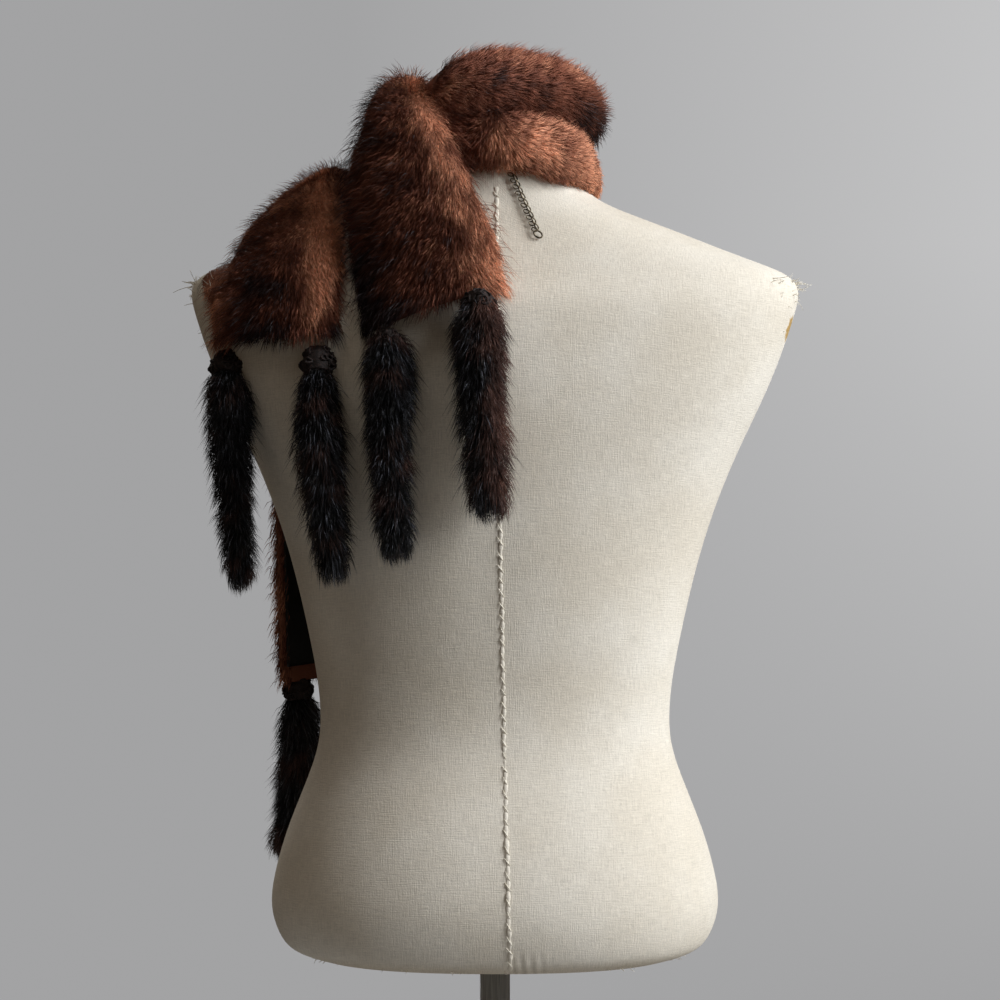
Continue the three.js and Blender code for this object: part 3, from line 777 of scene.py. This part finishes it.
def tail_coat(path, profile, start, tones, density, reach, lean, bent, radius):
    """Hairs round a tail from a share of its path to its tip, longest where the tail is thickest."""
    length = 165 * (1 - start)
    count = int(density * length * TAU * 15)
    u, angle = rng.uniform(0.0, 0.97, count), rng.uniform(0, TAU, count)
    roots, normals, ahead = tail_surface(path, u, angle, profile, start, TAIL_CORE)
    tip = np.clip((u - 0.85) / 0.12, 0, 1)[:, None]
    normals = unit(normals * (1 - 0.45 * tip) + ahead * 0.45 * tip)
    around = TAU * 8 / LOCK
    i, j = (u * length / LOCK).astype(int), (angle / TAU * around).astype(int)
    shift = rng.random((int(length / LOCK) + 2, int(around) + 2, 2))
    lock_u = np.clip((i + shift[i, j, 0]) * LOCK / length, 0, 1)
    lock_angle = (j + shift[i, j, 1]) / around * TAU
    lock = tail_surface(path, lock_u, lock_angle, profile, start, TAIL_CORE)[0]
    pile = np.interp(u, profile[:, 0], profile[:, 1]) * (1 - TAIL_CORE)
    hair = np.maximum(pile, 5.0) * reach / np.sin(lean)
    inner = 0.5 - 0.5 * np.cos(angle)
    tone = tones[0] + (tones[1] - tones[0]) * np.clip(inner * 2 - 0.6, 0, 1)
    return comb(roots, normals, ahead, lock - roots, hair, lean, tone, bent, radius)


LOOP_THREAD = 0.8
LOOPS_SHOWN = 26
LOOPS_HIDDEN = 12


def knot(path, start, end, size, loops):
    """The gathered head: a crumpled nub covered with loops of braid.

    The nub is a round section along the path, its radius moved in and out by short waves. It stands
    a little outside the path, so that it shows between the hairs. A loop is a wavy ring that lies on it.
    """
    def middle(u):
        centre, _, first, second = tail_frame(path, start + u * (end - start))
        aside = np.array([0, np.sign(path[0][1]), 0])
        return centre + aside * (1 - size) * 9, first, second

    def on_nub(u, angle):
        centre, first, second = middle(u)
        out = first * np.cos(angle)[..., None] + second * np.sin(angle)[..., None]
        radius = np.interp(u, HEAD_PROFILE[:, 0], HEAD_PROFILE[:, 1]) * size
        crumple = 1 + 0.14 * waves(centre + out * 9, (4, 6, 9), 12)
        return centre + out * (radius * crumple)[..., None]

    nub = skin(on_nub(*np.meshgrid(np.linspace(0, 1, 20), np.arange(26) * TAU / 26, indexing="ij")))
    length = np.linalg.norm(np.subtract(path[1], path[0])) * 3 * (end - start)
    place, spin = rng.uniform(0.12, 0.88, loops), rng.uniform(0, TAU, loops)
    reach = rng.uniform(1.8, 3.4, (loops, 1))
    around = np.arange(13) * TAU / 13
    wave = reach * (1 + 0.2 * np.sin(around * 3 + spin[:, None]))
    u = np.clip(place[:, None] + wave * np.sin(around) / length, 0.02, 0.98)
    angle = rng.uniform(0, TAU, (loops, 1)) + wave * np.cos(around) / (10 * size)
    lift = 0.7 + 0.7 * np.sin(around * 2 + spin[:, None])
    rings = on_nub(u, angle)
    rings = rings + unit(rings - middle(u)[0]) * lift[..., None]
    return joined([nub, *(loop(ring, LOOP_THREAD, 5) for ring in rings)])


def loop(path, radius, sides=6):
    """A closed ring of thread: a circle carried round a closed path. Quads join it to its own start."""
    count = len(path)
    ahead = unit(np.roll(path, -1, 0) - np.roll(path, 1, 0))
    aside = unit(np.cross(ahead, path - path.mean(0)))
    up = np.cross(ahead, aside)
    turn = np.arange(sides) * TAU / sides
    ring = aside[:, None] * np.cos(turn)[:, None] + up[:, None] * np.sin(turn)[:, None]
    i, j = (axis.ravel() for axis in np.meshgrid(np.arange(count), np.arange(sides), indexing="ij"))
    ahead_row, aside_row = (i + 1) % count * sides, (j + 1) % sides
    quads = np.stack([i * sides + j, i * sides + aside_row, ahead_row + aside_row, ahead_row + j], -1)
    points = (path[:, None] + ring * radius).reshape(-1, 3)
    none = np.zeros((0, 3), int)
    if volume(points, quads, none) < 0:
        quads = quads[:, ::-1]
    return points, quads, none


def dress_tails(tail_fur, gather):
    for name, a, b, c, d, outer_tone, inner_tone, *widths in TAILS:
        path, tones, profile = (a, b, c, d), (outer_tone, inner_tone), tail_profile(*widths)
        fur_from, head_from, head_to, size = HEADS.get(name, FRONT_HEAD)
        # Tails that the form hides have fewer, thicker hairs
        shown = 1.0 if name.startswith("back") or name == "front_1" else 0.38
        u, angle = np.meshgrid(1 - np.linspace(1, 0, 40) ** 1.5, np.arange(20) * TAU / 20, indexing="ij")
        grid = tail_surface(path, u * 0.985, angle, profile, HEAD_SHARE * 0.9, TAIL_CORE)[0]
        points, quads, fans = skin(grid)
        numbers = {key: np.full(len(points), value) for key, value in CORE_LOOK.items()}
        core = put("core_tail_" + name, points, [quads, fans], tail_fur, numbers)
        piece(core, "tail_fur", "tail_" + name)
        thin = 1 / np.sqrt(shown)
        coats = [
            tail_coat(path, profile, fur_from, tones, 0.38 * shown, 1.0, 0.5, False, 0.3 * thin),
            tail_coat(path, profile, fur_from, tones, 0.22 * shown, 1.3, 0.62, True, 0.22 * thin),
            tail_coat(path, profile, fur_from, tones, 0.06 * shown, 1.8, 0.75, True, 0.19 * thin),
        ]
        piece(fur_piece("fur_tail_" + name, coats, tail_fur), "tail_fur")
        loops = LOOPS_SHOWN if name.startswith("back") else LOOPS_HIDDEN
        points, quads, fans = knot(path, head_from, head_to, size, loops)
        head = put("knot_tail_" + name, points, [quads, fans], gather)
        piece(head, "tail_gather", "tail_head_" + name)


# The lining behind the outer row's front end, from one place on the row to another
LINING_START = 0.16
LINING_END = 1.6
LINING_INSET = 8
LINING_THICKNESS = 0.8


def dress_lining(satin):
    """A thin shell under the skin: a grid across and along, with soft ripples down its length."""
    t, v = np.meshgrid(np.linspace(LINING_START, LINING_END, 46), np.linspace(-1, 1, 40), indexing="ij")
    middle, half, across, out, ahead, crown, _ = OUTER.axes(t)
    ripple = 0.35 * np.sin(v * 9 + t * 2.2) * (1 - v**2) + 0.2 * np.sin(t * 21 + v * 3)
    lift = crown * (1 - v**2) - SKIN - 0.5 + ripple
    outer = middle + across * (v * (half - LINING_INSET))[..., None] + out * lift[..., None]
    inner = outer - out * LINING_THICKNESS
    rings = np.concatenate([outer, inner[:, ::-1]], 1)
    points, quads, fans = skin(rings)
    uv = np.stack([points[:, 2], points[:, 0]], 1)
    made = put("lining_front_end", points, [quads, fans], satin, None, uv)
    piece(made, "lining", "front_end_lining")
    width, length = flat_size(OUTER, LINING_START, LINING_END)


# The chain
def dress_chain(bronze):
    """Every link is a ring whose wire is a small circle: a torus set where the frame has the link."""
    names = sorted(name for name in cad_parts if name.startswith("chain"))
    around = np.arange(24) * TAU / 24
    parts = []
    # The links lie left and right of the middle in turn: how far aside, turned how far, half width,
    # half height and half the thickness of the wire
    for k, name in enumerate(names):
        centre = np.mean(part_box(name), axis=0) / MM
        if name == "chain_end_ring":
            aside, turn, wide, tall, wire = 0, 0.1, 2.7, 2.7, 0.6
        elif k % 2:
            aside, turn, wide, tall, wire = 1.15, 0.25, 1.75, 1.5, 0.5
        else:
            aside, turn, wide, tall, wire = -1.3, 0.85, 1.6, 2.0, 0.5
        level = np.array([np.cos(turn), np.sin(turn), 0])
        down = unit(np.array([-0.42, 0.12, -1.0]))
        reach = wide * np.cos(around)[:, None] * level + tall * np.sin(around)[:, None] * down
        parts.append(loop(centre + [aside, 0.3, 0] + reach, wire, 8))
    points, quads, fans = joined(parts)
    piece(put("chain_rings", points, [quads, fans], bronze), "chain_brass", *names)


# Linen, seam and frays
# Columns: height, distance of the centre seam from the middle of the back
SEAM = np.array([(254, -10.4), (385, -7), (548, -3.6), (793, -0.9)])
# The ridge is that wide and high on each side of its middle, and swells by a share between stitches
SEAM_WIDE = 1.5
SEAM_HIGH = 1.0
SEAM_SWELL = 0.28
STITCH_PITCH = 8.6
STITCH_RADIUS = 0.34
LOWEST_STITCH = 258
LINEN_EDGE = 254.5
# Loose threads at each shoulder tip, how many of them are short, and those round the lower edge
SHOULDER_FRAYS = 60
SHORT_FRAYS = 44
LOWER_FRAYS = 90


def dress_form(linen, thread):
    grid = np.roll(form_grid(FORM_RINGS, FORM_SIDES), FORM_SIDES // 4, 1)
    around = np.concatenate([grid, grid[:, :1]], 1)
    girth = np.linalg.norm(np.diff(around, axis=1, prepend=around[:, :1]), axis=2)
    rise = np.linalg.norm(np.diff(around, axis=0, prepend=around[:1]), axis=2)
    girth = np.cumsum(girth, 1)
    girth = girth - girth[:, FORM_SIDES // 2, None]
    points, quads, fans, uv = skin(grid, np.stack([girth, np.cumsum(rise, 0)], -1))
    piece(put("linen_form", points, [quads, fans], linen, None, uv), "linen", "dress_form")
    piece(seam_ridge(linen), "linen")
    piece(seam_stitches(thread), "linen")
    piece(frays(thread), "linen")


def seam_ridge(linen):
    """The seam's fold: a low half-round strip laid down the back along the seam's table."""
    z = np.linspace(255, 792, 360)
    x = np.interp(z, SEAM[:, 0], SEAM[:, 1]) + 0.3 * np.sin(z / 9)
    centre = on_back(x, z, -0.5)
    angle = np.arange(10) * TAU / 10
    wide, high = SEAM_WIDE * np.cos(angle), SEAM_HIGH * np.sin(angle)
    offsets = np.stack([wide, high, 0 * wide], -1)
    swell = 1 + SEAM_SWELL * np.cos(TAU * (z - LOWEST_STITCH) / STITCH_PITCH + np.sin(z / 23))
    grid = centre[:, None] + offsets * swell[:, None, None]
    points, quads, fans = skin(grid)
    return put("seam_ridge", points, [quads, fans], linen, None, points[:, [0, 2]])


def seam_stitches(thread):
    """Slanting stitches over the seam: short threads that rise in the middle and dive at both ends."""
    z = np.arange(LOWEST_STITCH, 790, STITCH_PITCH)
    z = z + STITCH_PITCH / 2 + rng.normal(0, 0.5, len(z))
    s = np.linspace(-1, 1, 9)
    slant = 1.7 + rng.normal(0, 0.25, len(z))
    rise = 2.9 + rng.normal(0, 0.4, len(z))
    zz = z[:, None] + rise[:, None] * s
    xx = np.interp(zz, SEAM[:, 0], SEAM[:, 1]) + slant[:, None] * s
    lift = 0.1 + 0.9 * (1 - s**2)
    paths = on_back(xx, zz, 0) + np.stack([0 * xx, lift + 0 * xx, 0 * xx], -1)
    points, quads, fans = tubes(paths, STITCH_RADIUS * np.sqrt(np.maximum(1 - s**4, 0.15)), 5)
    return put("seam_stitches", points, [quads, fans], thread)


def frays(thread):
    """Loose threads: each curls away from its root along an arc. Most stand at the shoulder tips."""
    roots, ways, spans = [], [], []
    for side in (1, -1):
        for k in range(SHOULDER_FRAYS):
            short = k < SHORT_FRAYS
            z = 731 - rng.gamma(1.5, 7.0 if short else 2.0)
            wide, ahead, behind, power = section(z)
            y = rng.uniform(-30, 48)
            deep = behind if y > 0 else ahead
            x = side * wide * (1 - abs(y / deep) ** power) ** (1 / power)
            roots.append((x - side * 0.4, y, z))
            ways.append(unit(np.array([side * 1.0, 0.35, 0.4]) + rng.normal(0, 0.5, 3)))
            spans.append(rng.gamma(3, 0.8) + 0.8 + 10 * (not short) * rng.random())
    for _ in range(LOWER_FRAYS):
        angle = rng.uniform(0, TAU)
        wide, ahead, behind, power = section(LINEN_EDGE)
        c, s = np.cos(angle), np.sin(angle)
        x = np.sign(c) * abs(c) ** (2 / power) * wide
        y = np.sign(s) * abs(s) ** (2 / power) * (behind if s > 0 else ahead)
        roots.append((x * 0.998, y * 0.998, LINEN_EDGE))
        ways.append(unit(np.array([x, y, -70.0]) / 150 + rng.normal(0, 0.4, 3)))
        spans.append(rng.gamma(2, 0.9) + 0.8)
    roots, ways, spans = np.array(roots), np.array(ways), np.array(spans)
    bends = unit(np.cross(ways, rng.normal(size=ways.shape)))
    s = np.linspace(0, 1, 6)[None, :, None]
    curl = rng.uniform(-0.6, 0.6, len(roots))[:, None, None]
    paths = roots[:, None] + (ways[:, None] * s + bends[:, None] * curl * s**2) * spans[:, None, None]
    points, quads, fans = tubes(paths, np.linspace(0.28, 0.14, 6), 4)
    return put("frayed_threads", points, [quads, fans], thread)


# The stand
def turned(name, profile, sides, finish, slot, node):
    """A profile of (radius, height) turned round the pole's axis."""
    angle = np.arange(sides) * TAU / sides
    radius, z = np.array(profile, float).T
    x, y = radius[:, None] * np.cos(angle), radius[:, None] * np.sin(angle)
    grid = np.stack([x, y, z[:, None] + 0 * angle], -1)
    points, quads, fans = skin(grid)
    piece(put(name, points, [quads, fans], finish), slot, node)


def dress_stand(steel):
    _, high = (np.array(corner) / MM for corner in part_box("stand_base"))
    reach, top, edge, middle = high[0], high[2], 3, 20
    arc = np.linspace(0, TAU / 4, 8)
    rim = [(reach - edge + edge * np.cos(a), top - edge + edge * np.sin(a)) for a in arc]
    turned("base_plate", [(reach - 1, 0), (reach, 1), *rim, (middle, top)], 128, steel, "steel", "stand_base")
    low, high = (np.array(corner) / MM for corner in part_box("stand_pole"))
    reach = high[0]
    turned("pole_tube", [(reach, low[2]), (reach, high[2])], 64, steel, "steel", "stand_pole")


# Materials
# Colours of the fur at tone 0, 0.5 and 1, and a painted sheen: the grey-blue of highlights, painted on a few
# of the dark hairs
PELT_COLOURS = (0.017, 0.009, 0.009), (0.25, 0.086, 0.051), (1.0, 0.47, 0.28), (0.15, 0.14, 0.15)
TAIL_COLOURS = (0.0015, 0.0015, 0.0018), (0.11, 0.052, 0.04), (0.3, 0.12, 0.07), (0.2, 0.21, 0.25)


def pelt_finish(name, colours, gloss, shine):
    """Fur: tone picks the colour, the root is darker than the tip, and chance varies single hairs.

    A few hairs of the dark fur carry a painted sheen, grey-blue highlights that grow towards their tips.
    gloss is how much smoother a hair is at its tip than at its root, and shine is how strongly it reflects.
    """
    dark, brown, light, painted_sheen = colours
    fur = Finish(name, Roughness=0.42, Specular_IOR_Level=shine)
    tone, rise, chance = (fur.attribute(key) for key in ("tone", "rise", "chance"))
    low = (tone * 2.0).between(0.0, 1.0).blend(dark, brown)
    colour = (tone * 2.0 - 1.0).between(0.0, 1.0).blend(low, light)
    root = rise.between(0.0, 0.8) * 0.45 + 0.55
    band = fur.noise(fur.place(), 800.0, 2)
    colour = colour * (root * (chance * 0.55 + 0.72) * (band * 0.5 + 0.75))
    # Painted sheen: the rarest of the dark hairs turn grey-blue towards their tips, in place of highlights
    sheen_strands = (chance * tone.between(0.35, 0.1)).between(0.78, 0.95) * rise
    fur.feed("Base Color", sheen_strands.blend(colour, painted_sheen))
    fur.feed("Roughness", 0.62 - rise * gloss)
    return fur


# Where the linen is rubbed through at the tip of the right shoulder, in metres
RUBBED_SPOT = (-0.208, 0.024, 0.696)


def linen_finish():
    """Plain weave: threads both ways, fibres, flecks and a slow mottle, and wear at the lower edge.

    Beside the foot of the seam, waves across the cloth raise a few puckers, which fade upwards.
    """
    linen = Finish("linen", Roughness=0.92, Specular_IOR_Level=0.2)
    cloth, place = linen.cloth(), linen.place()
    weft = linen.noise(cloth * (95.0, 1400.0, 1.0), 1.0, 2)
    warp = linen.noise(cloth * (1400.0, 95.0, 1.0), 1.0, 2)
    fibre = linen.noise(place, 900.0, 3, 0.6)
    fleck = linen.noise(cloth * (240.0, 700.0, 1.0), 1.0, 3).between(0.62, 0.74)
    mottle = linen.noise(place * (14.0, 14.0, 14.0), 1.0, 4)
    height = linen.node("SeparateXYZ", {}, {0: place}, "Z")
    slub = (weft + warp) * 0.7 + fibre * 0.6
    worn = height.between(0.264, 0.253)
    base = mottle.between(0.3, 0.75).blend((0.66, 0.6, 0.505), (0.74, 0.69, 0.605))
    stained = (worn * 0.6).blend(base, (0.38, 0.30, 0.20))
    away = linen.node("VectorMath", {"operation": "LENGTH"}, {0: place - RUBBED_SPOT}, "Value")
    rubbed = (away + linen.noise(place, 260.0) * 0.012).between(0.0165, 0.0135)
    stained = rubbed.blend(stained, (0.42, 0.27, 0.10))
    linen.feed("Base Color", stained * ((slub - 1.0) * 0.55 + 1.0) + fleck * 0.05)
    along = linen.node("SeparateXYZ", {}, {0: cloth}, "X")
    up = linen.node("SeparateXYZ", {}, {0: cloth}, "Y")
    near_seam = along.between(0.010, 0.016) * along.between(0.042, 0.024)
    pucker = linen.node("Math", {"operation": "SINE"}, {0: along * 900.0 + up * 60.0})
    linen.bump(slub + pucker * near_seam * up.between(0.034, 0.008) * 2.0, 0.0006, 0.5)
    return linen


def thread_finish():
    thread = Finish("thread", Roughness=0.8, Specular_IOR_Level=0.2)
    twist = thread.noise(thread.place() * (900.0, 900.0, 2400.0), 1.0, 2)
    thread.feed("Base Color", twist.between(0.3, 0.7).blend((0.62, 0.56, 0.44), (0.86, 0.82, 0.74)))
    thread.bump(twist, 0.0002, 0.5)
    return thread


def gather_finish():
    gather = Finish("gather", Roughness=0.75, Specular_IOR_Level=0.35)
    grain = gather.noise(gather.place() * (700.0, 700.0, 1600.0), 1.0, 3)
    gather.feed("Base Color", grain.between(0.35, 0.7).blend((0.003, 0.0025, 0.0025), (0.034, 0.018, 0.015)))
    gather.bump(grain, 0.0006, 0.8)
    return gather


def satin_finish():
    satin = Finish("satin", Roughness=0.4, Specular_IOR_Level=0.4)
    weave = satin.noise(satin.cloth() * (300.0, 2600.0, 1.0), 1.0, 2)
    satin.feed("Base Color", weave.between(0.3, 0.8).blend((0.0015, 0.0018, 0.0018), (0.006, 0.006, 0.006)))
    satin.bump(weave, 0.0002, 0.3)
    return satin


def steel_finish():
    steel = Finish("brushed_steel", Metallic=1.0)
    brush = steel.noise(steel.place() * (1800.0, 1800.0, 30.0), 1.0, 2)
    steel.feed("Base Color", brush.between(0.3, 0.7).blend((0.22, 0.23, 0.245), (0.4, 0.41, 0.43)))
    steel.feed("Roughness", brush * 0.2 + 0.26)
    steel.bump(brush, 0.0001, 0.3)
    return steel


def bronze_finish():
    bronze = Finish("aged_brass", Metallic=1.0)
    age = bronze.noise(bronze.place(), 420.0, 3)
    bronze.feed("Base Color", age.between(0.35, 0.7).blend((0.055, 0.045, 0.032), (0.24, 0.2, 0.14)))
    bronze.feed("Roughness", age * 0.3 + 0.28)
    return bronze


# The studio
FLOOR_RADIUS = 900


def area_light(name, place, aim, size, power, colour):
    data = bpy.data.lights.new(name, "AREA")
    data.shape = "RECTANGLE"
    data.size, data.size_y = (side * MM for side in size)
    data.energy = power
    data.color = colour
    lamp = bpy.data.objects.new(name, data)
    place, aim = (np.array(p, float) for p in (place, aim))
    lamp.location = place * MM
    lamp.rotation_euler = Vector((aim - place)).to_track_quat("-Z", "Y").to_euler()
    bpy.context.collection.objects.link(lamp)


def make_studio():
    backdrop = Finish("floor_paper", Roughness=0.9)
    grain = backdrop.noise(backdrop.place(), 60.0, 2)
    backdrop.feed("Base Color", grain.blend((0.45, 0.45, 0.445), (0.49, 0.49, 0.485)))
    angle = np.arange(96) * TAU / 96
    ring = np.stack([np.cos(angle), np.sin(angle), 0 * angle], -1) * FLOOR_RADIUS
    points, quads, fans = skin(np.array([ring - [0, 0, 8], ring - [0, 0, 0.5]]))
    floor = put("floor", points, [quads, fans], backdrop)
    area_light("key", (-2000, 860, 1640), (0, 0, 560), (1400, 1700), 92, (0.93, 0.965, 1.0))
    area_light("sky", (700, 900, 2700), (0, 0, 700), (1400, 1400), 8, (1.0, 0.96, 0.9))
    area_light("front", (500, -2300, 1400), (0, 0, 560), (1500, 1500), 26, (1.0, 0.98, 0.95))
    scene = bpy.context.scene
    scene.world = pale_room()
    scene.view_settings.view_transform = "Standard"


def pale_room():
    """Grey walls seen by the camera, with painted light: lighter towards the window's side and darker below.
    To all else they give a weak warm light.
    """
    world = bpy.data.worlds.new("studio")
    world.use_nodes = True
    tree = world.node_tree
    tree.nodes.clear()
    nodes = {kind: tree.nodes.new("ShaderNode" + kind) for kind in (
        "TexCoord", "SeparateXYZ", "MapRange", "Mix", "Background", "LightPath", "OutputWorld")}
    seen, lit = nodes["Background"], tree.nodes.new("ShaderNodeBackground")
    choose = tree.nodes.new("ShaderNodeMixShader")
    side, painted_wall_light = nodes["MapRange"], nodes["Mix"]
    up, both = tree.nodes.new("ShaderNodeMapRange"), tree.nodes.new("ShaderNodeMath")
    both.operation = "MULTIPLY"
    # Painted light on the seen walls: lighter towards the window's side, -X, and darker below the horizon
    side.inputs["From Min"].default_value, side.inputs["From Max"].default_value = 0.06, -0.22
    up.inputs["From Min"].default_value, up.inputs["From Max"].default_value = -0.2, 0.1
    painted_wall_light.data_type = "RGBA"
    shades = [i for i in painted_wall_light.inputs if i.type == "RGBA"]
    shades[0].default_value, shades[1].default_value = (0.365, 0.365, 0.37, 1), (0.56, 0.56, 0.565, 1)
    lit.inputs[0].default_value = (0.066, 0.05, 0.035, 1)
    for source, socket in (
        (nodes["TexCoord"].outputs["Generated"], nodes["SeparateXYZ"].inputs[0]),
        (nodes["SeparateXYZ"].outputs["X"], side.inputs["Value"]),
        (nodes["SeparateXYZ"].outputs["Z"], up.inputs["Value"]),
        (side.outputs[0], both.inputs[0]),
        (up.outputs[0], both.inputs[1]),
        (both.outputs[0], painted_wall_light.inputs["Factor"]),
        ([o for o in painted_wall_light.outputs if o.type == "RGBA"][0], seen.inputs[0]),
        (nodes["LightPath"].outputs["Is Camera Ray"], choose.inputs[0]),
        (lit.outputs[0], choose.inputs[1]),
        (seen.outputs[0], choose.inputs[2]),
        (choose.outputs[0], nodes["OutputWorld"].inputs[0]),
    ):
        tree.links.new(source, socket)
    return world


make_studio()
dress_form(linen_finish(), thread_finish())
dress_stand(steel_finish())
dress_stole(pelt_finish("pelt", PELT_COLOURS, 0.2, 0.13))
dress_tails(pelt_finish("tail_fur", TAIL_COLOURS, 0.3, 0.3), gather_finish())
dress_lining(satin_finish())
dress_chain(bronze_finish())
